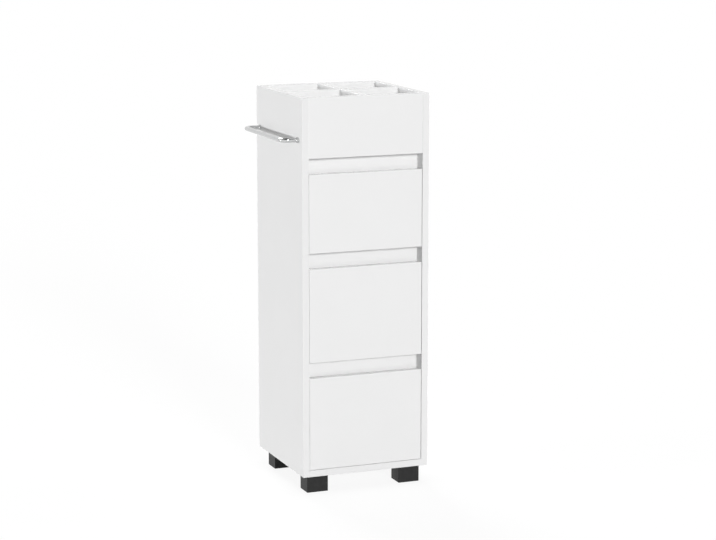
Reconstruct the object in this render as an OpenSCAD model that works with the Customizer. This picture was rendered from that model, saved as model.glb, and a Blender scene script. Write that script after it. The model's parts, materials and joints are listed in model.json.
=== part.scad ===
// Bathroom storage tower: an open tray with four compartments above three drawers,
// on four block feet, with a towel rail on its left side.
// Lengths are in mm. +Z is up and the fronts face -Y. The origin is on the floor, under
// the middle of the overall box, which includes the towel rail.

/* [Cabinet] */
// Outer width of the carcass
cab_w = 300; // [270:5:400]
// Depth of the carcass, from its front edges to its back edges
cab_d = 300; // [250:5:400]
// Height of the side panels
cab_h = 850; // [830:5:1000]
// Thickness of the carcass boards and of the drawer fronts
board_t = 15; // [14:1:18]
// Thickness of the hardboard back and drawer bottoms
hardboard_t = 3; // [2.5:0.5:4]
// Distance from the carcass's back edges to the hardboard back
rear_recess = 8; // [6:1:9]
// How far the drawer fronts and the tray's front board stand back from the side panels
front_setback = 1; // [0:0.25:2]
// Depth of the grooves that hold the hardboard back
groove_d = 4; // [3:0.5:6]

/* [Feet] */
// Size of a foot across the cabinet
foot_w = 50; // [40:1:60]
// Size of a foot from front to back
foot_l = 45; // [35:1:60]
// Height of a foot
foot_h = 40; // [30:1:60]
// Radius of a foot's upright edges
foot_edge_r = 1.5; // [0.5:0.5:4]
// Distance from the cabinet's side to a foot
foot_side_inset = 14; // [5:1:30]
// Distance from the cabinet's front to the front feet
foot_front_inset = 15; // [5:1:30]
// Distance from the cabinet's back to the rear feet
foot_rear_inset = 24; // [10:1:30]

/* [Tray] */
// Height of the fixed board in front of the tray
tray_front_h = 134; // [100:2:160]
// Thickness of the tray's dividers
divider_t = 12; // [8:1:15]
// Play of the dividers against the walls and in their cross-halving joint
divider_play = 0.2; // [0.1:0.05:0.4]

/* [Drawer fronts] */
// Height of the open grip gap above each drawer front
grip_gap = 35; // [28:1:45]
// Height of the top drawer's front
front_1_h = 175; // [150:1:190]
// Height of the middle drawer's front; the lowest front takes the height that is left
front_2_h = 211; // [180:1:230]
// Gap beside each drawer front
side_reveal = 0.75; // [0.5:0.25:3]
// Gap between the lowest front and the bottom panel
bottom_reveal = 0.8; // [0.6:0.2:5]

/* [Grip rails] */
// Finger room between the back of a drawer front and the grip rail
finger_room = 13; // [10:0.5:20]
// How far a grip rail hangs below the top edge of the front before it
rail_drop = 25; // [15:1:35]
// How far a grip rail reaches up behind the front above
rail_rise = 8; // [4:0.5:9]

/* [Drawer boxes] */
// Room between a drawer box and the hardboard back
box_rear_gap = 23; // [15:1:60]
// Thickness of the drawer sides and backs
box_t = 12; // [12:1:15]
// Height of the drawer side's lower edge above the front's lower edge
box_lift = 14; // [13:0.5:20]
// Clearance between a drawer box and the grip rail above it
box_headroom = 6; // [3:0.5:12]
// Height of the drawer bottom above the drawer side's lower edge
bottom_lift = 10; // [8:0.5:14]
// Depth of the grooves that hold the drawer bottom
bottom_groove_d = 6; // [4:0.5:7]

/* [Runners] */
// Gap between the side panel and the drawer side, filled by the two runners
runner_gap = 12.5; // [12:0.1:14]
// Thickness of the runners' sheet steel
sheet_t = 1.2; // [1:0.1:1.5]
// Diameter of the rollers
roller_d = 21; // [18:0.5:22]
// Diameter of the rivets that the rollers turn on
rivet_d = 5; // [4:0.5:6]
// Radial clearance of a roller on its rivet
rivet_play = 0.08; // [0.05:0.01:0.1]
// Clearance between a roller and what rolls on it
rolling_gap = 0.3; // [0.2:0.05:0.5]
// Distance from the back of the drawer front to the cabinet runner
runner_setback = 2; // [1:0.5:5]
// Distance from a runner's end to the axis of its roller
roller_inset = 13; // [12:0.5:18]

/* [Towel rail] */
// Diameter of the towel rail
rail_d = 10; // [8:0.5:14]
// How far the towel rail stands out from the side panel
rail_reach = 42; // [35:1:70]
// Bend radius at the rail's corners, at the middle of the rod
rail_bend_r = 15; // [10:1:20]
// Depth of the rail's axis below the cabinet's top edge
rail_below_top = 94; // [60:1:105]
// Distance from the cabinet's front and back to the rail's legs
rail_end_inset = 25; // [22:1:60]
// How far the collars on the rail's legs stand out round the rod
collar_step = 1; // [0.75:0.25:6]
// Length of the collars
collar_l = 5; // [2:0.5:8]

/* [Fasteners] */
// Diameter of the cam locks
cam_d = 15; // [12:0.5:15]
// Distance from a board's end to the centre of its cam lock
cam_setback = 24; // [20:1:34]
// Distance from the cabinet's front and back to the cam locks of the level boards
cam_inset = 90; // [70:1:120]
// Thread diameter of the cam bolts
cam_thread_d = 5; // [4:0.5:6]
// Diameter of the wood dowels
dowel_d = 8; // [6:0.5:8]
// Length of the wood dowels
dowel_l = 30; // [24:1:34]
// Diameter of the small countersunk screws
screw_d = 3.5; // [3:0.25:4]
// Diameter of the foot screws and of the rail's machine screws
big_screw_d = 4; // [3.5:0.25:4.5]
// Radial clearance of fasteners in their bores
bore_play = 0.1; // [0.05:0.05:0.15]

/* [Hidden] */
DRAWERS = [1, 2, 3];
$fn = 64;

// Colours
white_foil = [0.95, 0.95, 0.95];
black_foot = [0.16, 0.16, 0.17];
chrome_rod = [0.8, 0.81, 0.83];
white_steel = [0.88, 0.89, 0.9];
nylon = [0.93, 0.92, 0.88];
zinc = [0.68, 0.69, 0.71];
beech = [0.82, 0.68, 0.48];

// Small lengths that several pieces share
eps = 1;            // how far a cutting body runs past a face
tongue_gap = 0.5;   // room at the end of a board in its groove
slot_play = 0.2;    // how much wider a groove is than its board
edge_margin = 16;   // from a board's edge to the axis of a fastener
blind_gap = 0.5;    // room past the tip of a fastener in its bore

// Heights above the floor
top_z = foot_h + cab_h;
tray_edge_z = top_z - tray_front_h;
tray_floor_z = tray_edge_z + board_t;
bottom_top_z = foot_h + board_t;
front_3_h = tray_edge_z - 3 * grip_gap - front_1_h - front_2_h - bottom_top_z - bottom_reveal;

// Inside faces and depths, from the left outer face and the front edges
inner_w = cab_w - 2 * board_t;
rear_y = cab_d - board_t;
back_y = cab_d - rear_recess - hardboard_t;
front_back_y = front_setback + board_t;
grip_y = front_back_y + finger_room;
box_x = board_t + runner_gap;
box_w = cab_w - 2 * box_x;
box_end_y = back_y - box_rear_gap;
runner_l = box_end_y - front_back_y;    // also the length of the drawer sides
runner_y = front_back_y + runner_setback;
carcass_x = (rail_reach - cab_w) / 2;

// Runner cross-section, from the side panel's inner face and the runner's lower edge
roller_side_gap = 0.8;     // beside a roller, on both its sides
rivet_end_gap = 0.2;       // between a roller and its rivet's head
rivet_head_t = 0.8;
rivet_head_d = rivet_d + 3;
flange_w = 5.7;            // width of the flange that rides on the cabinet roller
lip_gap = 0.6;             // between that flange and the cabinet runner's upper lip
lip_rise = 1;              // height of the lip's underside above the flange's underside
track_gap = 1.3;           // between the cabinet runner's track and the drawer runner
shelf_lift = 0.8;          // height of the drawer runner's shelf above the cabinet runner's edge
drawer_web_x = runner_gap - sheet_t;
roller_w = drawer_web_x - sheet_t - 2 * roller_side_gap - rivet_head_t - rivet_end_gap;
rivet_reach = roller_side_gap + roller_w + rivet_end_gap;
flange_x = drawer_web_x - flange_w;
lip_w = flange_x - lip_gap;
track_w = drawer_web_x - track_gap;
roller_axis_h = sheet_t + rolling_gap + roller_d / 2;
flange_h = sheet_t + roller_d + 2 * rolling_gap;
runner_h = flange_h + lip_rise + sheet_t;
runner_drop = sheet_t + shelf_lift;
runner_screw_inset = 45;   // from the ends of a runner to its screws

// Screws and cam fittings
screw_head_d = 2 * screw_d;
screw_head_h = screw_d / 2;
runner_screw_l = 11.5;
box_screw_l = 30;
bottom_screw_l = 16;
cross_w = 0.9;
cross_depth = 0.8;
pan_d = 2 * big_screw_d;
pan_h = 2.6;
foot_seat_h = 24;
foot_screw_l = 27;
foot_screw_reach = foot_screw_l + foot_seat_h - foot_h;
foot_screw_offset = 12;
rail_seat_d = pan_h + 0.4;
rail_screw_l = 22;
foot_seat_play = 1;
cam_skin = 2.5;            // thickness of board left behind a cam lock
cam_cavity_d = 6.6;        // hollow of the cam lock, round the bolt's head
cam_cavity_past = 3;       // how far the hollow reaches past the lock's axis
cam_head_past = 2;         // how far the bolt's head reaches past the lock's axis
cam_head_d = 5.6;
cam_head_l = 5;
cam_bore_d = 7;
cam_bolt_depth = 10.5;
cam_flange_d = 6.4;
cam_flange_t = 1.5;
cam_shank_d = 3.6;
cam_tip_chamfer = 1;
dowel_depth = 10;
dowel_chamfer = 1;
box_fixing_lift = 40;      // of the lower fixings above a drawer side's lower edge

// Heights of drawer n, counted from the top, and of what belongs to it
function front_h(n) = n == 1 ? front_1_h : n == 2 ? front_2_h : front_3_h;
function front_top(n) = (n == 1 ? tray_edge_z : front_z(n - 1)) - grip_gap;
function front_z(n) = front_top(n) - front_h(n);
function grip_z(n) = front_top(n) - rail_drop;
function grip_top(n) = n == 1 ? tray_edge_z : front_z(n - 1) + rail_rise;
function box_z(n) = front_z(n) + box_lift;
function box_top(n) = grip_z(n) - box_headroom;
function runner_z(n) = box_z(n) - runner_drop;

// Fastener axes in the side panels, each [y, z]
mid_level_y = cab_d / 2;
level_ys = [cam_inset, cab_d - cam_inset];
upright_zs = [tray_edge_z + 2 * edge_margin, top_z - edge_margin];
bottom_cams = [for (y = level_ys) [y, foot_h + board_t / 2]];
floor_cams = [for (y = level_ys) [y, tray_edge_z + board_t / 2]];
tray_back_cams = [[rear_y + board_t / 2, (upright_zs[0] + upright_zs[1]) / 2]];
function grip_cams(n) = [[grip_y + board_t / 2, grip_z(n) + edge_margin]];
bottom_dowels = [[mid_level_y, foot_h + board_t / 2]];
floor_dowels = [[mid_level_y, tray_edge_z + board_t / 2]];
tray_front_dowels = [for (z = upright_zs) [front_setback + board_t / 2, z]];
tray_back_dowels = [for (z = upright_zs) [rear_y + board_t / 2, z]];
function grip_dowels(n) = [[grip_y + board_t / 2, grip_top(n) - edge_margin]];
all_grip_cams = [for (n = DRAWERS) grip_cams(n)[0]];
all_cams = concat(bottom_cams, floor_cams, tray_back_cams, all_grip_cams);
all_dowels = concat(
    bottom_dowels, floor_dowels, tray_front_dowels, tray_back_dowels,
    [for (n = DRAWERS) grip_dowels(n)[0]]
);

// Other fastener places
runner_screw_ys = [runner_y + runner_screw_inset, runner_y + runner_l - runner_screw_inset];
function cabinet_screw_z(n) = runner_z(n) + runner_h / 2;
function drawer_screw_z(n) = box_z(n) + bottom_lift / 2;    // in the wood below the bottom's groove
function box_fixing_zs(n) = [box_z(n) + box_fixing_lift, box_top(n) - edge_margin];
rail_leg_ys = [rail_end_inset, cab_d - rail_end_inset];
rail_z = top_z - rail_below_top;
foot_xs = [foot_side_inset, cab_w - foot_side_inset - foot_w];
foot_ys = [foot_front_inset, cab_d - foot_rear_inset - foot_l];

// Frames that the pieces are drawn in
module in_carcass() {
    translate([carcass_x, -cab_d / 2, 0])
        children();
}
module mirrored() {
    translate([cab_w, 0, 0])
        mirror([1, 0, 0])
            children();
}
module on_both_sides() {
    children();
    mirrored()
        children();
}
module along_x(at) {
    translate(at)
        rotate([0, 90, 0])
            children();
}
module against_x(at) {
    translate(at)
        rotate([0, -90, 0])
            children();
}
module along_y(at) {
    translate(at)
        rotate([-90, 0, 0])
            children();
}

// A board from its lowest corner and its size
module board(at, size) {
    translate(at)
        cube(size);
}

// Countersunk screw with its face at z = 0 and its tip at z = -length
module screw(length) {
    difference() {
        union() {
            translate([0, 0, -screw_head_h])
                cylinder(h = screw_head_h, d1 = screw_d, d2 = screw_head_d);
            translate([0, 0, -length])
                cylinder(h = length - screw_head_h, d = screw_d);
        }
        for (turn = [0, 90])
            rotate([0, 0, turn])
                translate([-screw_d / 2, -cross_w / 2, -cross_depth])
                    cube([screw_d, cross_w, cross_depth + eps]);
    }
}
module screw_bore(length) {
    translate([0, 0, -screw_head_h])
        cylinder(h = screw_head_h, d1 = screw_d + 2 * bore_play, d2 = screw_head_d + 2 * bore_play);
    translate([0, 0, -length - blind_gap])
        cylinder(h = length + blind_gap, d = screw_d + 2 * bore_play);
    cylinder(h = eps, d = screw_head_d + 2 * bore_play);
}

// Pan-head screw with the underside of its head at z = 0 and its tip at z = -length
module pan_screw(length) {
    difference() {
        cylinder(h = pan_h, d = pan_d);
        for (turn = [0, 90])
            rotate([0, 0, turn])
                translate([-pan_d / 4, -cross_w / 2, pan_h - cross_depth])
                    cube([pan_d / 2, cross_w, cross_depth + eps]);
    }
    translate([0, 0, -length])
        cylinder(h = length, d = big_screw_d);
}

// Cam fitting along +X, with the board's end at x = 0 and the board's faces at z = 0 and z = thick
module cam_lock(thick) {
    translate([cam_setback, 0, 0])
        difference() {
            cylinder(h = thick - cam_skin, d = cam_d - 2 * bore_play);
            along_x([-cam_d, 0, thick / 2])
                cylinder(h = cam_d + cam_cavity_past, d = cam_cavity_d);
            translate([-cam_d / 3, -cross_w / 2, -eps])
                cube([2 * cam_d / 3, cross_w, cross_depth + eps]);
        }
}
module cam_bolt(thick) {
    head_end = cam_setback + cam_head_past;
    head_x = head_end - cam_head_l;
    along_x([0, 0, thick / 2])
        rotate_extrude()
            polygon([
                [0, -cam_bolt_depth],
                [cam_thread_d / 2 - cam_tip_chamfer, -cam_bolt_depth],
                [cam_thread_d / 2, cam_tip_chamfer - cam_bolt_depth],
                [cam_thread_d / 2, 0],
                [cam_flange_d / 2, 0],
                [cam_flange_d / 2, cam_flange_t],
                [cam_shank_d / 2, cam_flange_t],
                [cam_shank_d / 2, head_x],
                [cam_head_d / 2, head_x],
                [cam_head_d / 2, head_end],
                [0, head_end]
            ]);
}
module cam_bores(thick) {
    translate([cam_setback, 0, -eps])
        cylinder(h = thick - cam_skin + blind_gap + eps, d = cam_d);
    along_x([0, 0, thick / 2])
        cylinder(h = cam_setback, d = cam_bore_d);
    along_x([-cam_bolt_depth - blind_gap, 0, thick / 2])
        cylinder(h = cam_bolt_depth + blind_gap, d = cam_thread_d + 2 * bore_play);
}

// Cam fittings of the carcass: housings open downwards in level boards, backwards in upright ones
module at_level_cams(seats) {
    on_both_sides()
        for (seat = seats)
            translate([board_t, seat[0], seat[1] - board_t / 2])
                children();
}
module at_upright_cams(seats) {
    on_both_sides()
        for (seat = seats)
            translate([board_t, seat[0] + board_t / 2, seat[1]])
                rotate([90, 0, 0])
                    children();
}

// Wood dowels across the joint between a side panel and a board
module at_dowels(seats) {
    on_both_sides()
        for (seat = seats)
            along_x([board_t - dowel_depth, seat[0], seat[1]])
                children();
}
module dowel() {
    cylinder(h = dowel_chamfer, d1 = dowel_d - 2 * dowel_chamfer, d2 = dowel_d);
    translate([0, 0, dowel_chamfer])
        cylinder(h = dowel_l - 2 * dowel_chamfer, d = dowel_d);
    translate([0, 0, dowel_l - dowel_chamfer])
        cylinder(h = dowel_chamfer, d1 = dowel_d, d2 = dowel_d - 2 * dowel_chamfer);
}
module dowel_bore() {
    translate([0, 0, -blind_gap])
        cylinder(h = dowel_l + 2 * blind_gap, d = dowel_d + 2 * bore_play);
}

// Screws that hold the cabinet runners, and the towel rail's machine screws
module at_runner_screws(n) {
    for (y = runner_screw_ys)
        along_x([board_t + sheet_t, y, cabinet_screw_z(n)])
            children();
}
module at_rail_screws() {
    for (y = rail_leg_ys)
        along_x([board_t - rail_seat_d, y, rail_z])
            children();
}

// Carcass
module left_half_panel() {
    difference() {
        board([0, 0, foot_h], [board_t, cab_d, cab_h]);
        board(
            [board_t - groove_d, back_y, bottom_top_z - groove_d],
            [groove_d + eps, hardboard_t + slot_play, tray_edge_z - bottom_top_z + 2 * groove_d]
        );
        for (seat = all_cams)
            along_x([board_t - cam_bolt_depth - blind_gap, seat[0], seat[1]])
                cylinder(h = cam_bolt_depth + blind_gap + eps, d = cam_thread_d + 2 * bore_play);
        for (seat = all_dowels)
            along_x([board_t - dowel_depth, seat[0], seat[1]])
                dowel_bore();
        for (n = DRAWERS)
            at_runner_screws(n)
                screw_bore(runner_screw_l);
    }
}
module left_side_panel() {
    color(white_foil)
        in_carcass()
            difference() {
                left_half_panel();
                at_rail_screws()
                    union() {
                        cylinder(h = rail_seat_d + eps, d = pan_d + 4 * bore_play);
                        translate([0, 0, -board_t])
                            cylinder(h = board_t + eps, d = big_screw_d + 4 * bore_play);
                    }
            }
}
module right_side_panel() {
    color(white_foil)
        in_carcass()
            mirrored()
                left_half_panel();
}
module bottom_panel() {
    color(white_foil)
        in_carcass()
            difference() {
                board([board_t, 0, foot_h], [inner_w, cab_d, board_t]);
                board(
                    [0, back_y, bottom_top_z - groove_d],
                    [cab_w, hardboard_t + slot_play, groove_d + eps]
                );
                at_level_cams(bottom_cams)
                    cam_bores(board_t);
                at_dowels(bottom_dowels)
                    dowel_bore();
                at_foot_screws()
                    translate([0, 0, -eps])
                        cylinder(
                            h = foot_screw_reach + blind_gap + eps,
                            d = big_screw_d + 2 * bore_play
                        );
            }
}
module back_panel() {
    tongue = groove_d - tongue_gap;
    color(white_foil)
        in_carcass()
            board(
                [board_t - tongue, back_y + slot_play / 2, bottom_top_z - tongue],
                [inner_w + 2 * tongue, hardboard_t, tray_edge_z - bottom_top_z + 2 * tongue]
            );
}
module grip_rail(n) {
    color(white_foil)
        in_carcass()
            difference() {
                board([board_t, grip_y, grip_z(n)], [inner_w, board_t, grip_top(n) - grip_z(n)]);
                at_upright_cams(grip_cams(n))
                    cam_bores(board_t);
                at_dowels(grip_dowels(n))
                    dowel_bore();
            }
}

// Tray
module tray_front() {
    color(white_foil)
        in_carcass()
            difference() {
                board([board_t, front_setback, tray_edge_z], [inner_w, board_t, tray_front_h]);
                at_dowels(tray_front_dowels)
                    dowel_bore();
            }
}
module tray_back() {
    color(white_foil)
        in_carcass()
            difference() {
                board([board_t, rear_y, tray_edge_z], [inner_w, board_t, tray_front_h]);
                board(
                    [0, back_y, tray_edge_z - eps],
                    [cab_w, hardboard_t + slot_play, groove_d + eps]
                );
                at_upright_cams(tray_back_cams)
                    cam_bores(board_t);
                at_dowels(tray_back_dowels)
                    dowel_bore();
            }
}
module tray_floor() {
    color(white_foil)
        in_carcass()
            difference() {
                board([board_t, front_back_y, tray_edge_z], [inner_w, rear_y - front_back_y, board_t]);
                at_level_cams(floor_cams)
                    cam_bores(board_t);
                at_dowels(floor_dowels)
                    dowel_bore();
            }
}

// The dividers cross in a halving joint: one is slotted from above, the other from below
tray_depth = top_z - tray_floor_z;
halving_w = divider_t + 2 * divider_play;
module tray_divider() {
    color(white_foil)
        in_carcass()
            difference() {
                board(
                    [(cab_w - divider_t) / 2, front_back_y + divider_play, tray_floor_z],
                    [divider_t, rear_y - front_back_y - 2 * divider_play, tray_depth]
                );
                board(
                    [0, (cab_d - halving_w) / 2, tray_floor_z + tray_depth / 2],
                    [cab_w, halving_w, tray_depth]
                );
            }
}
module tray_cross_divider() {
    color(white_foil)
        in_carcass()
            difference() {
                board(
                    [board_t + divider_play, (cab_d - divider_t) / 2, tray_floor_z],
                    [inner_w - 2 * divider_play, divider_t, tray_depth]
                );
                board(
                    [(cab_w - halving_w) / 2, 0, tray_floor_z - eps],
                    [halving_w, cab_d, tray_depth / 2 + eps + divider_play]
                );
            }
}

// Feet
module rounded_block(size, r) {
    translate([r, 0, 0])
        cube([size[0] - 2 * r, size[1], size[2]]);
    translate([0, r, 0])
        cube([size[0], size[1] - 2 * r, size[2]]);
    for (x = [r, size[0] - r], y = [r, size[1] - r])
        translate([x, y, 0])
            cylinder(h = size[2], r = r);
}
module at_foot_screws_of(x, y) {
    for (side = [-1, 1])
        translate([x + foot_w / 2 + side * foot_screw_offset, y + foot_l / 2, foot_h])
            children();
}
module at_foot_screws() {
    for (x = foot_xs, y = foot_ys)
        at_foot_screws_of(x, y)
            children();
}
module foot(x, y) {
    color(black_foot)
        in_carcass()
            difference() {
                translate([x, y, 0])
                    rounded_block([foot_w, foot_l, foot_h], foot_edge_r);
                at_foot_screws_of(x, y)
                    union() {
                        translate([0, 0, -foot_h - eps])
                            cylinder(h = foot_seat_h + eps, d = pan_d + foot_seat_play);
                        translate([0, 0, -foot_h])
                            cylinder(h = foot_h + eps, d = big_screw_d + 2 * bore_play);
                    }
            }
}
module foot_front_left() {
    foot(foot_xs[0], foot_ys[0]);
}
module foot_front_right() {
    foot(foot_xs[1], foot_ys[0]);
}
module foot_rear_left() {
    foot(foot_xs[0], foot_ys[1]);
}
module foot_rear_right() {
    foot(foot_xs[1], foot_ys[1]);
}
module foot_screws() {
    color(zinc)
        in_carcass()
            at_foot_screws()
                translate([0, 0, foot_seat_h - foot_h])
                    rotate([180, 0, 0])
                        pan_screw(foot_screw_l);
}

// Towel rail: one bent rod whose legs butt against the left side panel
rail_x = rail_d / 2 - rail_reach;
rail_bend_x = rail_x + rail_bend_r;
module rail_bend(y, turn) {
    translate([rail_bend_x, y, rail_z])
        rotate([0, 0, turn])
            rotate_extrude(angle = 90)
                translate([rail_bend_r, 0])
                    circle(d = rail_d);
}
module towel_rail() {
    bar_ys = [rail_leg_ys[0] + rail_bend_r, rail_leg_ys[1] - rail_bend_r];
    color(chrome_rod)
        in_carcass()
            difference() {
                union() {
                    along_y([rail_x, bar_ys[0], rail_z])
                        cylinder(h = bar_ys[1] - bar_ys[0], d = rail_d);
                    rail_bend(bar_ys[0], 180);
                    rail_bend(bar_ys[1], 90);
                    for (y = rail_leg_ys)
                        along_x([rail_bend_x, y, rail_z])
                            cylinder(h = -rail_bend_x, d = rail_d);
                }
                for (y = rail_leg_ys)
                    along_x([board_t - rail_seat_d - rail_screw_l - blind_gap, y, rail_z])
                        cylinder(h = rail_screw_l, d = big_screw_d + 2 * bore_play);
            }
}
module towel_rail_collars() {
    color(chrome_rod)
        in_carcass()
            for (y = rail_leg_ys)
                along_x([-collar_l, y, rail_z])
                    difference() {
                        cylinder(h = collar_l, d = rail_d + 2 * collar_step);
                        translate([0, 0, -eps])
                            cylinder(h = collar_l + 2 * eps, d = rail_d + 2 * bore_play);
                    }
}
module towel_rail_screws() {
    color(zinc)
        in_carcass()
            at_rail_screws()
                pan_screw(rail_screw_l);
}

// Carcass fasteners
module wood_dowels() {
    color(beech)
        in_carcass()
            at_dowels(all_dowels)
                dowel();
}
module cam_locks() {
    color(zinc)
        in_carcass() {
            at_level_cams(concat(bottom_cams, floor_cams))
                cam_lock(board_t);
            at_upright_cams(concat(tray_back_cams, all_grip_cams))
                cam_lock(board_t);
        }
}
module cam_bolts() {
    color(zinc)
        in_carcass() {
            at_level_cams(concat(bottom_cams, floor_cams))
                cam_bolt(board_t);
            at_upright_cams(concat(tray_back_cams, all_grip_cams))
                cam_bolt(board_t);
        }
}
module runner_screws() {
    color(zinc)
        in_carcass()
            on_both_sides()
                for (n = DRAWERS)
                    at_runner_screws(n)
                        screw(runner_screw_l);
}

// Runners: a sheet section drawn in x and z, and run from front_y towards the back
module along_depth(at, length) {
    translate([at[0], at[1] + length, at[2]])
        rotate([90, 0, 0])
            linear_extrude(length)
                children();
}
module cabinet_runner(n) {
    roller_y = runner_y + roller_inset;
    color(white_steel)
        difference() {
            union() {
                along_depth([board_t, runner_y, runner_z(n)], runner_l)
                    union() {
                        square([sheet_t, runner_h]);
                        square([track_w, sheet_t]);
                        translate([0, runner_h - sheet_t])
                            square([lip_w, sheet_t]);
                    }
                along_x([board_t, roller_y, runner_z(n) + roller_axis_h])
                    rivet();
            }
            at_runner_screws(n)
                screw_bore(runner_screw_l);
        }
}
module drawer_runner(n) {
    roller_y = box_end_y - roller_inset;
    color(white_steel)
        difference() {
            union() {
                along_depth([board_t, front_back_y, runner_z(n)], runner_l)
                    union() {
                        translate([drawer_web_x, shelf_lift])
                            square([sheet_t, flange_h + sheet_t - shelf_lift]);
                        translate([drawer_web_x, shelf_lift])
                            square([sheet_t + box_t, sheet_t]);
                        translate([flange_x, flange_h])
                            square([flange_w + sheet_t, sheet_t]);
                    }
                against_x([box_x, roller_y, runner_z(n) + roller_axis_h])
                    rivet();
            }
            at_drawer_runner_screws(n)
                screw_bore(runner_screw_l);
        }
}
// A rivet and its head, from the back of the sheet that it is set in
module rivet() {
    cylinder(h = sheet_t + rivet_reach + rivet_head_t, d = rivet_d);
    translate([0, 0, sheet_t + rivet_reach])
        cylinder(h = rivet_head_t, d = rivet_head_d);
}
module roller() {
    translate([0, 0, sheet_t + roller_side_gap])
        difference() {
            cylinder(h = roller_w, d = roller_d);
            translate([0, 0, -eps])
                cylinder(h = roller_w + 2 * eps, d = rivet_d + 2 * rivet_play);
        }
}
module cabinet_rollers(n) {
    color(nylon)
        in_carcass()
            on_both_sides()
                along_x([board_t, runner_y + roller_inset, runner_z(n) + roller_axis_h])
                    roller();
}
module drawer_rollers(n) {
    color(nylon)
        in_carcass()
            on_both_sides()
                against_x([box_x, box_end_y - roller_inset, runner_z(n) + roller_axis_h])
                    roller();
}

// Drawer fasteners: cam fittings to the front, screws to the runners, back and bottom
module at_front_cams(n) {
    for (z = box_fixing_zs(n))
        translate([box_x, front_back_y, z])
            multmatrix([[0, 0, 1, 0], [1, 0, 0, 0], [0, 1, 0, 0], [0, 0, 0, 1]])
                children();
}
module at_drawer_runner_screws(n) {
    for (y = runner_screw_ys)
        against_x([box_x - sheet_t, y, drawer_screw_z(n)])
            children();
}
module at_back_screws(n) {
    for (z = box_fixing_zs(n))
        against_x([box_x, box_end_y - box_t / 2, z])
            children();
}
module at_bottom_screws(n) {
    translate([box_x + box_w / 4, box_end_y - box_t / 2, box_z(n) + bottom_lift])
        rotate([180, 0, 0])
            children();
}
module drawer_fixings(n) {
    color(zinc)
        in_carcass()
            on_both_sides() {
                at_front_cams(n)
                    union() {
                        cam_lock(box_t);
                        cam_bolt(box_t);
                    }
                at_drawer_runner_screws(n)
                    screw(runner_screw_l);
                at_back_screws(n)
                    screw(box_screw_l);
                at_bottom_screws(n)
                    screw(bottom_screw_l);
            }
}

// Drawers
module drawer_front(n) {
    front_w = inner_w - 2 * side_reveal;
    color(white_foil)
        in_carcass()
            difference() {
                board(
                    [board_t + side_reveal, front_setback, front_z(n)],
                    [front_w, board_t, front_h(n)]
                );
                bottom_groove(n);
                on_both_sides()
                    at_front_cams(n)
                        cam_bores(box_t);
            }
}
// The groove round the drawer bottom, as one cut through the front and the sides
module bottom_groove(n) {
    inset = box_t - bottom_groove_d;
    board(
        [box_x + inset, front_back_y - bottom_groove_d, box_z(n) + bottom_lift],
        [box_w - 2 * inset, runner_l + bottom_groove_d + eps, hardboard_t + slot_play]
    );
}
module drawer_left_half_side(n) {
    difference() {
        board([box_x, front_back_y, box_z(n)], [box_t, runner_l, box_top(n) - box_z(n)]);
        bottom_groove(n);
        at_front_cams(n)
            cam_bores(box_t);
        at_drawer_runner_screws(n)
            screw_bore(runner_screw_l);
        at_back_screws(n)
            screw_bore(box_screw_l);
    }
}
module drawer_left_side(n) {
    color(white_foil)
        in_carcass()
            drawer_left_half_side(n);
}
module drawer_right_side(n) {
    color(white_foil)
        in_carcass()
            mirrored()
                drawer_left_half_side(n);
}
module drawer_back(n) {
    back_z = box_z(n) + bottom_lift + hardboard_t;
    color(white_foil)
        in_carcass()
            difference() {
                board(
                    [box_x + box_t, box_end_y - box_t, back_z],
                    [box_w - 2 * box_t, box_t, box_top(n) - back_z]
                );
                on_both_sides() {
                    at_back_screws(n)
                        screw_bore(box_screw_l);
                    at_bottom_screws(n)
                        screw_bore(bottom_screw_l);
                }
            }
}
module drawer_bottom(n) {
    inset = box_t - bottom_groove_d + tongue_gap;
    reach = bottom_groove_d - tongue_gap;
    color(white_foil)
        in_carcass()
            difference() {
                board(
                    [box_x + inset, front_back_y - reach, box_z(n) + bottom_lift],
                    [box_w - 2 * inset, runner_l + reach, hardboard_t]
                );
                on_both_sides()
                    at_bottom_screws(n)
                        screw_bore(bottom_screw_l);
            }
}

left_side_panel();
right_side_panel();
bottom_panel();
back_panel();
tray_front();
tray_back();
tray_floor();
tray_divider();
tray_cross_divider();
foot_front_left();
foot_front_right();
foot_rear_left();
foot_rear_right();
foot_screws();
towel_rail();
towel_rail_collars();
towel_rail_screws();
wood_dowels();
cam_locks();
cam_bolts();
runner_screws();
for (n = DRAWERS) {
    grip_rail(n);
    in_carcass() cabinet_runner(n);
    in_carcass() mirrored() cabinet_runner(n);
    cabinet_rollers(n);
    drawer_front(n);
    drawer_left_side(n);
    drawer_right_side(n);
    drawer_back(n);
    drawer_bottom(n);
    in_carcass() drawer_runner(n);
    in_carcass() mirrored() drawer_runner(n);
    drawer_rollers(n);
    drawer_fixings(n);
}
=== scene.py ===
"""Looks of the bathroom storage tower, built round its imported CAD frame. Lengths are in metres."""

import json
import math

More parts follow.
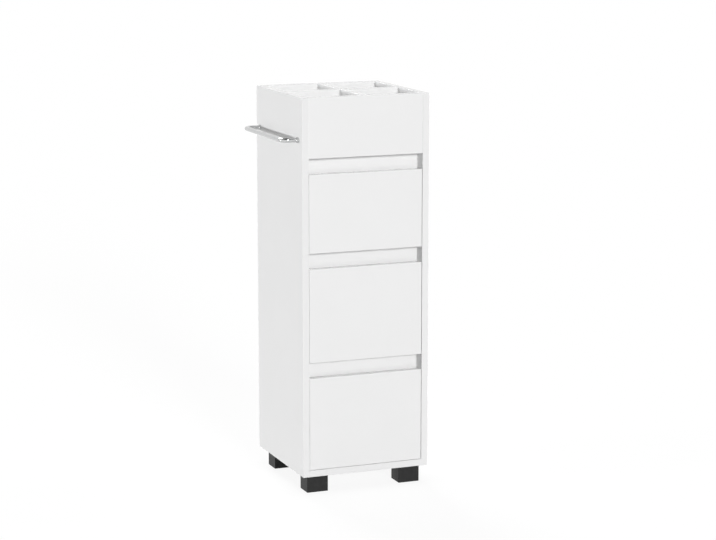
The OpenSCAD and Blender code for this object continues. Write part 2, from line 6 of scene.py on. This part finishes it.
import bmesh
import bpy
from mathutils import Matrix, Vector

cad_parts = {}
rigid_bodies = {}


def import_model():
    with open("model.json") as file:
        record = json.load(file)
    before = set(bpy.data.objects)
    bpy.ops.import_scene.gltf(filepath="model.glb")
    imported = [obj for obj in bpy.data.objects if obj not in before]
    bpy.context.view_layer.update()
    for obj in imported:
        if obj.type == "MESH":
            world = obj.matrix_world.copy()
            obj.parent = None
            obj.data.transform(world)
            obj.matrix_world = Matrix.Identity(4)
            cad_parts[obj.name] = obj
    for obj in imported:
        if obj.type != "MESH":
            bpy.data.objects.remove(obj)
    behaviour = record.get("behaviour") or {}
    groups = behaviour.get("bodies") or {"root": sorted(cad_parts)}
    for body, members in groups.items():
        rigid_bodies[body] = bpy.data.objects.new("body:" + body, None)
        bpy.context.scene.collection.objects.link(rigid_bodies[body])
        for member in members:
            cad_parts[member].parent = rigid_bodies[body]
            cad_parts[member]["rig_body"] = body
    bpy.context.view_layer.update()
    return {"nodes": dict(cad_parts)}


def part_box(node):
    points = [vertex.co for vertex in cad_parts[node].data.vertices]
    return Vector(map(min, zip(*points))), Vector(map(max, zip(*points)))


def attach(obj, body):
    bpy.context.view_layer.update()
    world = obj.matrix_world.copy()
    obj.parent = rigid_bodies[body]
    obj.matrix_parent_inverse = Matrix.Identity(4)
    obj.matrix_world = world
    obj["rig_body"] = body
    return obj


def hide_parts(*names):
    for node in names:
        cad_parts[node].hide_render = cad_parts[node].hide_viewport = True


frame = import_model()
DRAWERS = (1, 2, 3)
SIDES = ("left", "right")
X, Y, Z = range(3)
AXES = (X, Y, Z)

# Camera, fitted to the edges of the cabinet in the photograph
CAMERA_AZIMUTH = math.radians(21.66)     # of its aim, from +Y towards +X
CAMERA_FALL = math.radians(10.466)       # of its aim, below the horizon
CAMERA_TARGET = Vector((0.0610, 0.0, 0.4733))
CAMERA_DISTANCE = 5.102
CAMERA_REACH = 200.0
SENSOR_WIDTH = 36.0                      # mm
FOCAL_LENGTH = 112.10                    # mm

# Light, where 1 is the strength at which a colour that faces it renders as it is written
AMBIENT = 0.23
# Far lamps: name, azimuth and fall of the rays, strength, apparent size (angles in degrees)
LAMPS = (
    ("front_light", 0, 14, 0.67, 14),
    ("left_light", 97, 3, 0.53, 6),
    ("right_light", -90, 5, 0.33, 10),
    ("rear_light", 180, 35, 0.46, 20),
    ("top_light", 0, 85, 0.10, 30),
)

# Floor, and a dark card overhead that draws the dark lines on polished metal
FLOOR_SIZE = 160.0
FLOOR_COLOUR = 0.45                      # for the light that it throws back at the object
FLOOR_SHADE = 0.13                       # how strongly the object's shadows show on it
FLAG_SIZE = 5.0
FLAG_CENTRE = Vector((0, -0.6, 3.6))
FLAG_COLOUR = 0.03

# Materials
WHITE = (1, 1, 1, 1)
PATTERN_SPAN = (0.3, 0.7)                # values of a noise at which it counts as low and high

# Meshes
WELD = 1e-6                              # vertices this close are one
TOUCH = 1e-5                             # tolerance of a place or a length
FLAT_ANGLE = math.radians(0.5)
SHARP_ANGLE = math.radians(35)
ROUND_PROFILE = 0.5                      # a bevel's profile for a circular arc
CORNER_STEPS = 5                         # of a rounded corner in a turned profile

# Boards
EDGE_RADIUS = 0.0005
EDGE_SEGMENTS = 4
SEAM_TILT = (0.95, 0.999)                # how far a seam's normal points along the thickness
FOIL, BAND, SEAM, CORE = range(4)        # material slots of a board

# Feet
FOOT_CORNER_RADIUS = 0.0015
FOOT_EDGE_RADIUS = 0.0005
FOOT_EDGE_SEGMENTS = 3

# Towel rail
RAIL_BEND_RADIUS = 0.015
RAIL_SIDES = 48
BEND_STEPS = 16
COLLAR_EDGE_RADIUS = 0.0008

# Runners of folded sheet
SHEET = 0.0012                           # thickness of the sheet
FOLD_REACH = 1.5 * SHEET                 # a face wider than this is a wall, not the sheet's edge
SHEET_BEND_RADIUS = 0.0010               # outside a fold
SHEET_BEND_SEGMENTS = 4
SHEET_EDGE_RADIUS = 0.0002
SHEET_EDGE_SEGMENTS = 2
RIVET_HEAD_RADIUS = 0.004

# Rollers
ROLLER_SIDES = 72
ROLLER_EDGE_RADIUS = 0.0010
ROLLER_RIM = 0.0022                      # height of the rim that the tread runs on
ROLLER_HUB = 0.0016                      # wall of the hub round the bore
ROLLER_RECESS = 0.0012                   # depth of the ring-shaped recess in each side
ROLLER_DRAFT = 0.0003                    # slope of the recess's walls
BORE_CHAMFER = 0.0003

# Cam locks
CAM_DIAMETER = 0.0148
CAM_EDGE_RADIUS = 0.0004
CAM_EDGE_SEGMENTS = 3


# ---------------------------------------------------------------- nodes and objects

def add_object(name, data):
    """A new object in the scene."""
    thing = bpy.data.objects.new(name, data)
    bpy.context.scene.collection.objects.link(thing)
    return thing


def set_values(node, values):
    """Sets the named input sockets of a node."""
    for socket, value in values.items():
        node.inputs[socket].default_value = value


def add_node(tree, kind, values):
    """A new node with the given values in its sockets."""
    node = tree.nodes.new(kind)
    set_values(node, values)
    return node


def blank_material(name):
    """A new material with an empty node tree, and the tree."""
    material = bpy.data.materials.new(name)
    material.use_nodes = True
    material.node_tree.nodes.clear()
    return material, material.node_tree


def grey(value):
    return (value, value, value)


def opaque(colour):
    return (*colour, 1)


# ---------------------------------------------------------------- camera and light

def direction(azimuth, fall):
    """Unit vector that points azimuth from +Y towards +X, and fall below the horizon."""
    level = math.cos(fall)
    return Vector((level * math.sin(azimuth), level * math.cos(azimuth), -math.sin(fall)))


def aim(thing, heading):
    """Turns a camera or lamp to face along heading, upright."""
    thing.rotation_euler = heading.to_track_quat("-Z", "Y").to_euler()


def make_camera():
    data = bpy.data.cameras.new("camera")
    data.sensor_width = SENSOR_WIDTH
    data.lens = FOCAL_LENGTH
    data.clip_end = CAMERA_REACH
    camera = add_object("camera", data)
    heading = direction(CAMERA_AZIMUTH, CAMERA_FALL)
    camera.location = CAMERA_TARGET - CAMERA_DISTANCE * heading
    aim(camera, heading)
    bpy.context.scene.camera = camera


def make_sun(name, azimuth, fall, strength, softness):
    """A far lamp whose rays run along azimuth and fall; softness is its apparent size."""
    data = bpy.data.lights.new(name, "SUN")
    data.energy = strength * math.pi
    data.angle = math.radians(softness)
    aim(add_object(name, data), direction(math.radians(azimuth), math.radians(fall)))


def seen_directly(tree):
    """An output that is 1 for camera, glossy and transmission rays, and 0 for bounced light."""
    path = tree.nodes.new("ShaderNodeLightPath")
    seen = path.outputs["Is Camera Ray"]
    for ray in ("Is Glossy Ray", "Is Transmission Ray"):
        either = tree.nodes.new("ShaderNodeMath")
        either.operation = "MAXIMUM"
        tree.links.new(seen, either.inputs[0])
        tree.links.new(path.outputs[ray], either.inputs[1])
        seen = either.outputs[0]
    return seen


def show_instead(tree, lit, shown, output):
    """Wires an output to one shader for bounced light, and to another for what is seen."""
    mix = tree.nodes.new("ShaderNodeMixShader")
    tree.links.new(seen_directly(tree), mix.inputs[0])
    tree.links.new(lit.outputs[0], mix.inputs[1])
    tree.links.new(shown.outputs[0], mix.inputs[2])
    tree.links.new(mix.outputs[0], output.inputs["Surface"])


def make_world():
    """A world that lights the object softly and shows white."""
    world = bpy.data.worlds.new("studio")
    bpy.context.scene.world = world
    world.use_nodes = True
    tree = world.node_tree
    tree.nodes.clear()
    lit = add_node(tree, "ShaderNodeBackground", {"Color": WHITE, "Strength": AMBIENT})
    shown = add_node(tree, "ShaderNodeBackground", {"Color": WHITE, "Strength": 1.0})
    show_instead(tree, lit, shown, tree.nodes.new("ShaderNodeOutputWorld"))


def floor_light():
    """The light that an open floor gets from the world and the lamps."""
    lamps = sum(strength * math.sin(math.radians(fall)) for _, _, fall, strength, _ in LAMPS)
    return AMBIENT + lamps


def level_square(name, size):
    mesh = bmesh.new()
    bmesh.ops.create_grid(mesh, x_segments=1, y_segments=1, size=size / 2)
    return finish_mesh(name, mesh)


def make_floor():
    """A pale floor that shows white where it is lit and keeps the object's shadow."""
    floor = level_square("floor", FLOOR_SIZE)
    material, tree = blank_material("studio_floor")
    bounce = add_node(tree, "ShaderNodeBsdfDiffuse", {"Color": opaque(grey(FLOOR_COLOUR))})
    shaded = add_node(tree, "ShaderNodeBsdfDiffuse", {"Color": opaque(grey(FLOOR_SHADE))})
    glow = add_node(tree, "ShaderNodeEmission", {"Strength": 1 - FLOOR_SHADE * floor_light()})
    white = tree.nodes.new("ShaderNodeAddShader")
    tree.links.new(shaded.outputs[0], white.inputs[0])
    tree.links.new(glow.outputs[0], white.inputs[1])
    show_instead(tree, bounce, white, tree.nodes.new("ShaderNodeOutputMaterial"))
    floor.data.materials.append(material)


def make_flag():
    """The dark card, which only reflections show."""
    flag = level_square("studio_flag", FLAG_SIZE)
    flag.location = FLAG_CENTRE
    flag.visible_camera = False
    flag.visible_diffuse = False
    flag.visible_shadow = False
    flag.visible_transmission = False
    material, tree = blank_material("flag_black")
    dark = add_node(tree, "ShaderNodeEmission", {"Color": opaque(grey(FLAG_COLOUR))})
    output = tree.nodes.new("ShaderNodeOutputMaterial")
    tree.links.new(dark.outputs[0], output.inputs["Surface"])
    flag.data.materials.append(material)


# ---------------------------------------------------------------- materials

def principled(name, **values):
    """A new material, its node tree and its shader; values are sockets of the shader."""
    material = bpy.data.materials.new(name)
    material.use_nodes = True
    shader = material.node_tree.nodes["Principled BSDF"]
    set_values(shader, values)
    return material, material.node_tree, shader


def noise(tree, feature, stretch=(1, 1, 1), detail=2.0):
    """Noise fixed to the piece; its features are about the given length, times stretch."""
    place = tree.nodes.new("ShaderNodeTexCoord")
    scale = add_node(tree, "ShaderNodeMapping", {"Scale": [1 / s for s in stretch]})
    pattern = add_node(tree, "ShaderNodeTexNoise", {"Scale": 1 / feature, "Detail": detail})
    tree.links.new(place.outputs["Object"], scale.inputs["Vector"])
    tree.links.new(scale.outputs["Vector"], pattern.inputs["Vector"])
    return pattern.outputs["Fac"]


def tint(tree, shader, pattern, dark, light):
    """Runs the shader's colour from dark to light by a pattern."""
    ramp = tree.nodes.new("ShaderNodeValToRGB")
    for end, position, colour in zip(ramp.color_ramp.elements, PATTERN_SPAN, (dark, light)):
        end.position = position
        end.color = opaque(colour)
    tree.links.new(pattern, ramp.inputs["Fac"])
    tree.links.new(ramp.outputs["Color"], shader.inputs["Base Color"])


def roughen(tree, shader, pattern, low, high):
    """Runs the shader's roughness from low to high by a pattern."""
    start, end = PATTERN_SPAN
    values = {"From Min": start, "From Max": end, "To Min": low, "To Max": high}
    span = add_node(tree, "ShaderNodeMapRange", values)
    tree.links.new(pattern, span.inputs["Value"])
    tree.links.new(span.outputs["Result"], shader.inputs["Roughness"])


def relief(tree, shader, pattern, depth):
    """Raises a pattern by depth on the shader's surface."""
    bump = add_node(tree, "ShaderNodeBump", {"Strength": 1.0, "Distance": depth})
    tree.links.new(pattern, bump.inputs["Height"])
    tree.links.new(bump.outputs["Normal"], shader.inputs["Normal"])


def make_board_foil():
    """White melamine foil: faintly clouded, with a fine pearl that breaks up its satin gloss."""
    material, tree, shader = principled("white_foil")
    cloud = noise(tree, feature=0.09, detail=4)
    pearl = noise(tree, feature=0.0007)
    tint(tree, shader, cloud, dark=grey(0.862), light=grey(0.872))
    roughen(tree, shader, pearl, low=0.36, high=0.48)
    relief(tree, shader, pearl, depth=0.00002)
    return material


def make_edge_band():
    """White edge banding: a smoother, slightly glossier strip than the foil."""
    material, tree, shader = principled("white_edge_band")
    cloud = noise(tree, feature=0.03, detail=3)
    streaks = noise(tree, feature=0.0012)
    tint(tree, shader, cloud, dark=grey(0.866), light=grey(0.878))
    roughen(tree, shader, streaks, low=0.17, high=0.25)
    relief(tree, shader, streaks, depth=0.00001)
    return material


def make_edge_seam():
    """The hairline where an edge band meets the foil."""
    material, tree, shader = principled("edge_seam", Roughness=0.5)
    tint(tree, shader, noise(tree, feature=0.004), dark=grey(0.80), light=grey(0.84))
    return material


def make_board_core():
    """Particle board, as bores and grooves lay it bare."""
    material, tree, shader = principled("particle_board", Roughness=0.9)
    chips = noise(tree, feature=0.002, detail=5)
    tint(tree, shader, chips, dark=(0.42, 0.30, 0.18), light=(0.74, 0.60, 0.42))
    relief(tree, shader, chips, depth=0.0004)
    return material


def make_hardboard():
    """White lacquered hardboard, with the fibres of the board just showing through."""
    material, tree, shader = principled("white_hardboard")
    fibres = noise(tree, feature=0.0012, stretch=(3, 3, 1), detail=4)
    tint(tree, shader, fibres, dark=grey(0.845), light=grey(0.868))
    roughen(tree, shader, fibres, low=0.44, high=0.58)
    relief(tree, shader, fibres, depth=0.00003)
    return material


def make_black_plastic():
    """Moulded black plastic with a fine spark-eroded grain."""
    material, tree, shader = principled("black_plastic", **{"Specular IOR Level": 0.25})
    cloud = noise(tree, feature=0.012)
    grain = noise(tree, feature=0.0006, detail=3)
    tint(tree, shader, cloud, dark=grey(0.010), light=grey(0.016))
    roughen(tree, shader, grain, low=0.42, high=0.58)
    relief(tree, shader, grain, depth=0.00006)
    return material


def make_chrome():
    """Polished chrome plating with the faint haze of handling."""
    material, tree, shader = principled("chrome", Metallic=1.0)
    cast = noise(tree, feature=0.01)
    haze = noise(tree, feature=0.004, detail=4)
    tint(tree, shader, cast, dark=(0.53, 0.535, 0.54), light=(0.575, 0.58, 0.58))
    roughen(tree, shader, haze, low=0.035, high=0.09)
    return material


def make_white_steel():
    """White epoxy powder coating on sheet steel, with its orange peel."""
    material, tree, shader = principled("white_epoxy_steel")
    cloud = noise(tree, feature=0.02, detail=3)
    peel = noise(tree, feature=0.0015)
    tint(tree, shader, cloud, dark=grey(0.80), light=grey(0.84))
    roughen(tree, shader, peel, low=0.3, high=0.42)
    relief(tree, shader, peel, depth=0.00004)
    return material


def make_nylon():
    """Natural nylon of the rollers, slightly warm and waxy."""
    material, tree, shader = principled("nylon")
    cloud = noise(tree, feature=0.003, detail=3)
    tint(tree, shader, cloud, dark=(0.80, 0.785, 0.72), light=(0.86, 0.85, 0.80))
    roughen(tree, shader, cloud, low=0.32, high=0.46)
    relief(tree, shader, cloud, depth=0.00003)
    return material


def make_zinc():
    """Bright zinc plating: uneven gloss with a cool and a faintly yellow cast."""
    material, tree, shader = principled("bright_zinc", Metallic=1.0)
    cast = noise(tree, feature=0.005)
    haze = noise(tree, feature=0.0015, detail=3)
    tint(tree, shader, cast, dark=(0.415, 0.425, 0.44), light=(0.46, 0.46, 0.455))
    roughen(tree, shader, haze, low=0.28, high=0.36)
    return material


def make_beech():
    """Beech of the dowels, its grain along them."""
    material, tree, shader = principled("beech", Roughness=0.7)
    grain = noise(tree, feature=0.0012, stretch=(12, 1, 1), detail=4)
    tint(tree, shader, grain, dark=(0.56, 0.39, 0.22), light=(0.74, 0.58, 0.38))
    relief(tree, shader, grain, depth=0.0001)
    return material


# ---------------------------------------------------------------- mesh helpers

def finish_mesh(name, mesh):
    """Turns a bmesh into an object of the scene, smooth except at its sharp edges."""
    for face in mesh.faces:
        face.smooth = True
    for edge in mesh.edges:
        edge.smooth = len(edge.link_faces) == 2 and edge.calc_face_angle(0) < SHARP_ANGLE
    data = bpy.data.meshes.new(name)
    mesh.to_mesh(data)
    mesh.free()
    return add_object(name, data)


def keep_flats_flat(piece):
    """Gives large flat faces their true normals, so that rounded edges don't shade them."""
    normals = piece.modifiers.new("flat faces", "WEIGHTED_NORMAL")
    normals.keep_sharp = True


def welded_copy(node):
    """A node's mesh as a bmesh of whole flat faces, without the import's split edges."""
    mesh = bmesh.new()
    mesh.from_mesh(frame["nodes"][node].data)
    bmesh.ops.remove_doubles(mesh, verts=mesh.verts, dist=WELD)
    bmesh.ops.dissolve_limit(mesh, angle_limit=FLAT_ANGLE, verts=mesh.verts, edges=mesh.edges)
    return mesh


def round_off(mesh, edges, radius, segments):
    """Rounds edges of a mesh."""
    bmesh.ops.bevel(
        mesh, geom=edges, offset=radius, offset_type="OFFSET",
        segments=segments, profile=ROUND_PROFILE, affect="EDGES", clamp_overlap=False,
    )


def bridge(mesh, rings, closed=False):
    """Joins each ring of vertices to the next one by a band of faces."""
    following = rings[1:] + rings[:1] if closed else rings[1:]
    for one, two in zip(rings, following):
        for k in range(len(one)):
            after = (k + 1) % len(one)
            mesh.faces.new((one[k], one[after], two[after], two[k]))


def turns(sides):
    """The angles of a ring's vertices."""
    return [2 * math.pi * k / sides for k in range(sides)]


def stand_for(piece, node, slot_name, *materials):
    """The piece takes the node's place on its body and wears the given materials."""
    for material in materials:
        piece.data.materials.append(material)
    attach(piece, frame["nodes"][node]["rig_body"])
    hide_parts(node)


# ---------------------------------------------------------------- boards

def outline_axis(edge, low, high):
    """The axis along which an edge runs on the outline of the box from low to high, or None."""
    one, two = (vert.co for vert in edge.verts)
    for axis in AXES:
        others = [other for other in AXES if other != axis]
        straight = all(abs(one[other] - two[other]) < TOUCH for other in others)
        depths = [
            min(abs(one[other] - low[other]), abs(one[other] - high[other]))
            for other in others
        ]
        if straight and max(depths) < TOUCH:
            return axis
    return None


def board_zone(face, low, high, thickness_axis, bare):
    """Which of a board's materials a face shows."""
    centre = face.calc_center_median()
    depths = [min(centre[axis] - low[axis], high[axis] - centre[axis]) for axis in AXES]
    tilt = abs(face.normal[thickness_axis])
    if min(depths) > EDGE_RADIUS + TOUCH:
        return CORE if bare else FOIL
    if tilt > SEAM_TILT[1]:
        return FOIL
    return SEAM if tilt > SEAM_TILT[0] else BAND


def dress_board(node, materials, rounded=AXES, bare=True):
    """A board with edge bands, rounded along the given axes; a bare one shows its core in bores."""
    low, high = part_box(node)
    size = high - low
    thickness_axis = min(AXES, key=lambda axis: size[axis])
    mesh = welded_copy(node)
    edges = [edge for edge in mesh.edges if outline_axis(edge, low, high) in rounded]
    round_off(mesh, edges, EDGE_RADIUS, EDGE_SEGMENTS)
    mesh.normal_update()
    for face in mesh.faces:
        face.material_index = board_zone(face, low, high, thickness_axis, bare)
    piece = finish_mesh(node + "_finished", mesh)
    keep_flats_flat(piece)
    stand_for(piece, node, "white_board", *materials)


def dress_boards(finishes):
    banded = [finishes[name] for name in ("foil", "band", "seam", "core")]
    hardboard = [finishes["hardboard"]] * len(banded)
    for side in SIDES:
        dress_board(f"{side}_side_panel", banded)
    for node in ("bottom_panel", "tray_front", "tray_back", "tray_floor"):
        dress_board(node, banded, rounded=(X,))
    dress_board("tray_divider", banded, rounded=(Y,), bare=False)
    dress_board("tray_cross_divider", banded, rounded=(X,), bare=False)
    dress_board("back_panel", hardboard, rounded=(), bare=False)
    for n in DRAWERS:
        dress_board(f"grip_rail_{n}", banded, rounded=(X,))
        dress_board(f"drawer_front_{n}", banded)
        for side in SIDES:
            dress_board(f"drawer_{side}_side_{n}", banded, rounded=(Y,))
        dress_board(f"drawer_back_{n}", banded, rounded=(X,))
        dress_board(f"drawer_bottom_{n}", hardboard, rounded=(), bare=False)


# ---------------------------------------------------------------- feet

def dress_foot(node, material):
    """A block foot with its upper and lower outlines broken by a small radius."""
    low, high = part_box(node)
    mesh = welded_copy(node)

    def on_outline(vert):
        level = min(abs(vert.co.z - low.z), abs(vert.co.z - high.z)) < TOUCH
        depth = min(min(vert.co[axis] - low[axis], high[axis] - vert.co[axis]) for axis in (X, Y))
        return level and depth < FOOT_CORNER_RADIUS + TOUCH

    def is_rim(edge):
        outer = all(on_outline(vert) for vert in edge.verts)
        return outer and edge.calc_face_angle(0) > SHARP_ANGLE

    rims = [edge for edge in mesh.edges if is_rim(edge)]
    round_off(mesh, rims, FOOT_EDGE_RADIUS, FOOT_EDGE_SEGMENTS)
    piece = finish_mesh(node + "_moulded", mesh)
    keep_flats_flat(piece)
    stand_for(piece, node, "black_foot", material)


# ---------------------------------------------------------------- towel rail

def rail_path(wall_x, bar_x, ends, height):
    """Centre line of the bent rod: out along one leg, along the bar, back along the other leg."""
    bend_x = bar_x + RAIL_BEND_RADIUS
    points = [Vector((wall_x, ends[0], height))]
    for end, inward, start in ((ends[0], 1, 270), (ends[1], -1, 180)):
        centre = Vector((bend_x, end + inward * RAIL_BEND_RADIUS, height))
        for step in range(BEND_STEPS + 1):
            turn = math.radians(start - 90 * step / BEND_STEPS)
            points.append(centre + RAIL_BEND_RADIUS * Vector((math.cos(turn), math.sin(turn), 0)))
    points.append(Vector((wall_x, ends[1], height)))
    return points


def sweep(mesh, path, radius):
    """A closed round rod along a level path."""
    rings = []
    for i, point in enumerate(path):
        ahead = path[min(i + 1, len(path) - 1)]
        behind = path[max(i - 1, 0)]
        along = (ahead - behind).normalized()
        side = Vector((-along.y, along.x, 0))
        ring = []
        for turn in turns(RAIL_SIDES):
            offset = math.cos(turn) * side + math.sin(turn) * Vector((0, 0, 1))
            ring.append(mesh.verts.new(point + radius * offset))
        rings.append(ring)
    bridge(mesh, rings)
    mesh.faces.new(list(reversed(rings[0])))
    mesh.faces.new(rings[-1])
    bmesh.ops.recalc_face_normals(mesh, faces=mesh.faces)


def turned(mesh, start, profile, sides):
    """A solid turned about a line along +X from start; profile is a closed list of (x, radius)."""
    rings = []
    for x, radius in profile:
        ring = []
        for turn in turns(sides):
            spoke = Vector((x, radius * math.cos(turn), radius * math.sin(turn)))
            ring.append(mesh.verts.new(start + spoke))
        rings.append(ring)
    bridge(mesh, rings, closed=True)


def rounded_corner(centre, radius):
    """Points of a quarter circle in a profile, from its greatest radius to its least x."""
    points = []
    for step in range(CORNER_STEPS + 1):
        turn = math.radians(90 + 90 * step / CORNER_STEPS)
        points.append((centre[0] + radius * math.cos(turn), centre[1] + radius * math.sin(turn)))
    return points


def dress_rail_rod(material):
    """The bent rod; returns its radius and the places of its legs along Y."""
    low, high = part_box("towel_rail")
    radius = (high.z - low.z) / 2
    legs = (low.y + radius, high.y - radius)
    mesh = bmesh.new()
    sweep(mesh, rail_path(high.x, low.x + radius, legs, low.z + radius), radius)
    stand_for(finish_mesh("towel_rail_rod", mesh), "towel_rail", "chrome_rail", material)
    return radius, legs


def dress_rail_collars(material, bore, legs):
    """The collars round both legs, each with a rounded outer edge."""
    low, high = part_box("towel_rail_collars")
    outer = (high.z - low.z) / 2
    length = high.x - low.x
    edge = COLLAR_EDGE_RADIUS
    profile = [(length, bore), (length, outer)]
    profile += rounded_corner((edge, outer - edge), edge)
    profile += [(0, bore)]
    mesh = bmesh.new()
    for y in legs:
        turned(mesh, Vector((low.x, y, low.z + outer)), profile, RAIL_SIDES)
    bmesh.ops.recalc_face_normals(mesh, faces=mesh.faces)
    collars = finish_mesh("towel_rail_flanges", mesh)
    keep_flats_flat(collars)
    stand_for(collars, "towel_rail_collars", "chrome_rail", material)


# ---------------------------------------------------------------- runners and rollers

def roller_profile(width, radius, bore):
    """Section of a roller: round tread edges and a recess in both sides, as (x, radius)."""
    edge = ROLLER_EDGE_RADIUS
    rim = radius - ROLLER_RIM
    hub = bore + ROLLER_HUB
    half = rounded_corner((edge, radius - edge), edge)
    half += [
        (0, rim),
        (ROLLER_RECESS, rim - ROLLER_DRAFT),
        (ROLLER_RECESS, hub + ROLLER_DRAFT),
        (0, hub),
        (0, bore + BORE_CHAMFER),
        (BORE_CHAMFER, bore),
    ]
    return half + [(width - x, r) for x, r in reversed(half)]


def dress_rollers(node, material):
    """A left and a right nylon roller, each as wide and as large as the node's own."""
    low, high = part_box(node)
    axis = (low + high) / 2
    radius = (high.z - low.z) / 2
    points = [vert.co for vert in frame["nodes"][node].data.vertices]
    width = max(point.x for point in points if point.x < axis.x) - low.x
    bore = min(math.hypot(point.y - axis.y, point.z - axis.z) for point in points)
    profile = roller_profile(width, radius, bore)
    mesh = bmesh.new()
    for x in (low.x, high.x - width):
        turned(mesh, Vector((x, axis.y, axis.z)), profile, ROLLER_SIDES)
    bmesh.ops.recalc_face_normals(mesh, faces=mesh.faces)
    stand_for(finish_mesh(node + "_turned", mesh), node, "nylon", material)


def along_sheet(edge):
    """Whether an edge is an outer corner that runs along the depth of the cabinet."""
    one, two = (vert.co for vert in edge.verts)
    level = math.hypot(one.x - two.x, one.z - two.z) < TOUCH
    return level and edge.is_convex and edge.calc_face_angle(0) > SHARP_ANGLE


def is_fold(edge):
    """Whether both faces at an edge are walls of the sheet."""
    base = edge.verts[0].co
    widths = [
        max(math.hypot(vert.co.x - base.x, vert.co.z - base.z) for vert in face.verts)
        for face in edge.link_faces
    ]
    return min(widths) > FOLD_REACH


def dress_runner(node, rollers, steel, rivet):
    """A runner of folded sheet, with its rivet in bare metal at the axis of the rollers."""
    low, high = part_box(rollers)
    axis = (low + high) / 2
    mesh = welded_copy(node)
    folds = [edge for edge in mesh.edges if along_sheet(edge) and is_fold(edge)]
    round_off(mesh, folds, SHEET_BEND_RADIUS, SHEET_BEND_SEGMENTS)
    corners = [edge for edge in mesh.edges if along_sheet(edge)]
    round_off(mesh, corners, SHEET_EDGE_RADIUS, SHEET_EDGE_SEGMENTS)
    for face in mesh.faces:
        reach = max(math.hypot(vert.co.y - axis.y, vert.co.z - axis.z) for vert in face.verts)
        face.material_index = int(reach < RIVET_HEAD_RADIUS + TOUCH)
    piece = finish_mesh(node + "_folded", mesh)
    keep_flats_flat(piece)
    stand_for(piece, node, "white_steel", steel, rivet)


def dress_runners(finishes):
    for n in DRAWERS:
        for kind in ("cabinet", "drawer"):
            rollers = f"{kind}_rollers_{n}"
            for side in SIDES:
                runner = f"{kind}_runner_{side}_{n}"
                dress_runner(runner, rollers, finishes["white_steel"], finishes["zinc"])
            dress_rollers(rollers, finishes["nylon"])


# ---------------------------------------------------------------- fasteners

def islands(mesh):
    """The separate solids of a mesh, each as a list of its vertices."""
    left = set(mesh.verts)
    while left:
        reached = [left.pop()]
        for vert in reached:
            for edge in vert.link_edges:
                other = edge.other_vert(vert)
                if other in left:
                    left.remove(other)
                    reached.append(other)
        yield reached


def cam_rims(solid):
    """The edges round both ends of a cam lock, or none where the solid is another fastener."""
    low = Vector(min(vert.co[axis] for vert in solid) for axis in AXES)
    high = Vector(max(vert.co[axis] for vert in solid) for axis in AXES)
    size = high - low
    across = [axis for axis in AXES if abs(size[axis] - CAM_DIAMETER) < TOUCH]
    if len(across) != 2:
        return []
    along = (set(AXES) - set(across)).pop()
    middle = (low + high) / 2

    def on_rim(vert):
        at_end = min(abs(vert.co[along] - low[along]), abs(vert.co[along] - high[along])) < TOUCH
        reach = math.hypot(*(vert.co[axis] - middle[axis] for axis in across))
        return at_end and abs(reach - CAM_DIAMETER / 2) < TOUCH

    rim = {vert for vert in solid if on_rim(vert)}
    edges = {edge for vert in rim for edge in vert.link_edges if set(edge.verts) <= rim}
    return [edge for edge in edges if edge.calc_face_angle(0) > SHARP_ANGLE]


def dress_fasteners(node, material):
    """Screws and cam fittings as they are, with the rims of the cam locks rounded a little."""
    mesh = welded_copy(node)
    rims = [edge for solid in islands(mesh) for edge in cam_rims(solid)]
    round_off(mesh, rims, CAM_EDGE_RADIUS, CAM_EDGE_SEGMENTS)
    piece = finish_mesh(node + "_plated", mesh)
    keep_flats_flat(piece)
    stand_for(piece, node, "zinc_steel", material)


def paint(node, material):
    """Gives a node that keeps its CAD mesh its material."""
    slots = frame["nodes"][node].data.materials
    slots.clear()
    slots.append(material)


# ---------------------------------------------------------------- the scene

def make_studio():
    make_camera()
    make_world()
    make_floor()
    make_flag()
    for lamp in LAMPS:
        make_sun(*lamp)
    bpy.context.scene.view_settings.view_transform = "Standard"


def make_finishes():
    return {
        "foil": make_board_foil(),
        "band": make_edge_band(),
        "seam": make_edge_seam(),
        "core": make_board_core(),
        "hardboard": make_hardboard(),
        "plastic": make_black_plastic(),
        "chrome": make_chrome(),
        "white_steel": make_white_steel(),
        "nylon": make_nylon(),
        "zinc": make_zinc(),
        "beech": make_beech(),
    }


def make_object():
    finishes = make_finishes()
    dress_boards(finishes)
    for end in ("front", "rear"):
        for side in SIDES:
            dress_foot(f"foot_{end}_{side}", finishes["plastic"])
    rod_radius, legs = dress_rail_rod(finishes["chrome"])
    dress_rail_collars(finishes["chrome"], rod_radius, legs)
    dress_runners(finishes)
    for node in ["cam_locks"] + [f"drawer_fixings_{n}" for n in DRAWERS]:
        dress_fasteners(node, finishes["zinc"])
    for node in ("foot_screws", "towel_rail_screws", "cam_bolts", "runner_screws"):
        paint(node, finishes["zinc"])
    paint("wood_dowels", finishes["beech"])


make_studio()
make_object()
